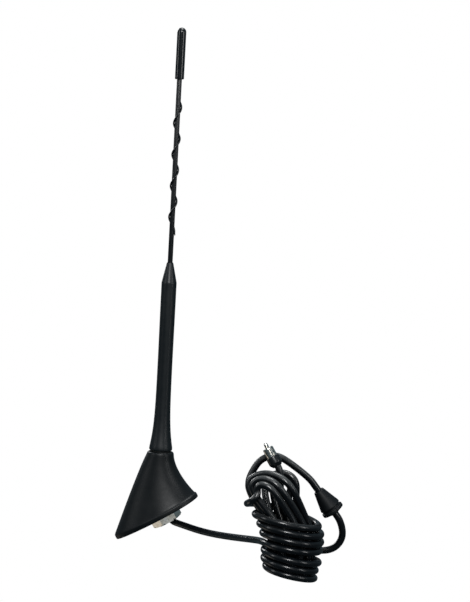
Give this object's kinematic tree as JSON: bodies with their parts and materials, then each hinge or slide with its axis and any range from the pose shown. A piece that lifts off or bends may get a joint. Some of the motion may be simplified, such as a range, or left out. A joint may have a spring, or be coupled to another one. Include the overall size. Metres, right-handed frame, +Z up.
{
  "type": "roof antenna with amplified base and coaxial lead",
  "caption": "Raked roof whip antenna: spiral-ribbed whip on a rubber grip, teardrop amplified base with clamp nut, wound coaxial lead, panel grommet and coaxial plug.",
  "frame": {"origin": "Centre of the mounting stud on the roof plane, which is the gasket's underside.", "axes": "+Z runs up the mast, +X towards the rear of the base, +Y to the side. The roof plane rises towards +X at 31.3 degrees."},
  "size_m": [0.1825, 0.1771, 0.4139],
  "materials": {
    "cap_plastic": "glossy moulded black plastic",
    "spring_steel": "drawn spring steel",
    "whip_plastic": "satin black extruded plastic",
    "grip_rubber": "satin black rubber",
    "former_plastic": "natural moulded plastic",
    "copper": "bright copper",
    "brass": "turned brass",
    "plated_steel": "nickel plate",
    "seal_rubber": "matt black rubber",
    "housing_rubber": "satin black rubber skin",
    "zinc": "die cast, as cast",
    "board": "green solder mask",
    "chip_plastic": "moulded packages",
    "insulation": "coloured wire insulation",
    "nut_plate": "bright zinc plate",
    "lead_jacket": "glossy black lead jacket",
    "dielectric": "natural polyethylene",
    "grommet_rubber": "satin black rubber",
    "collar_plastic": "moulded black plastic"
  },
  "bodies": {
    "base": {"base_housing": "housing_rubber", "base_core": "zinc", "mast_socket": "brass", "socket_insulator": "former_plastic", "amplifier_board": "board", "board_components": "chip_plastic", "board_screws": "plated_steel", "signal_wire": "insulation", "base_gasket": "seal_rubber", "mounting_stud": "nut_plate", "coax_lead": "lead_jacket", "lead_dielectric": "dielectric", "lead_braid_collar": "copper", "lead_conductor": "copper", "plug_pin": "plated_steel", "plug_insulator": "former_plastic", "plug_barrel": "plated_steel", "plug_crimp": "plated_steel", "plug_collar": "collar_plastic"},
    "mast": {"mast_tip_cap": "cap_plastic", "whip_core": "spring_steel", "whip_sleeve": "whip_plastic", "wind_spiral": "whip_plastic", "mast_grip": "grip_rubber", "coil_former": "former_plastic", "loading_coil": "copper", "whip_ferrule": "brass", "mast_stud": "plated_steel"},
    "foot_seal": {"mast_foot_seal": "seal_rubber"},
    "washer": {"claw_washer": "nut_plate"},
    "nut": {"mounting_nut": "nut_plate"},
    "grommet": {"panel_grommet": "grommet_rubber"}
  },
  "joints": [
    {"name": "mast_lift", "type": "slide", "parent": "base", "child": "foot_seal", "axis": [0, 0, 1], "range_m": [0, 0.0064]},
    {"name": "mast_turn", "type": "hinge", "parent": "foot_seal", "child": "mast", "pos_m": [-0.0056, 0, 0.0512], "axis": [0, 0, 1], "range_deg": [0, 2881]},
    {"name": "nut_travel", "type": "slide", "parent": "base", "child": "washer", "axis": [0.5195, 0, -0.8545], "range_m": [0, 0.00225]},
    {"name": "nut_turn", "type": "hinge", "parent": "washer", "child": "nut", "pos_m": [0, 0, 0], "axis": [0.5195, 0, -0.8545], "range_deg": [0, 540]},
    {"name": "grommet_slide", "type": "slide", "parent": "base", "child": "grommet", "axis": [-0.6199, -0.0942, 0.779], "range_m": [0, 0.008]}
  ],
  "couplings": [
    {"joint": "mast_turn", "follows": "mast_lift", "rad_per_m": 7854},
    {"joint": "nut_travel", "follows": "nut_turn", "m_per_rad": 0.00023873}
  ]
}
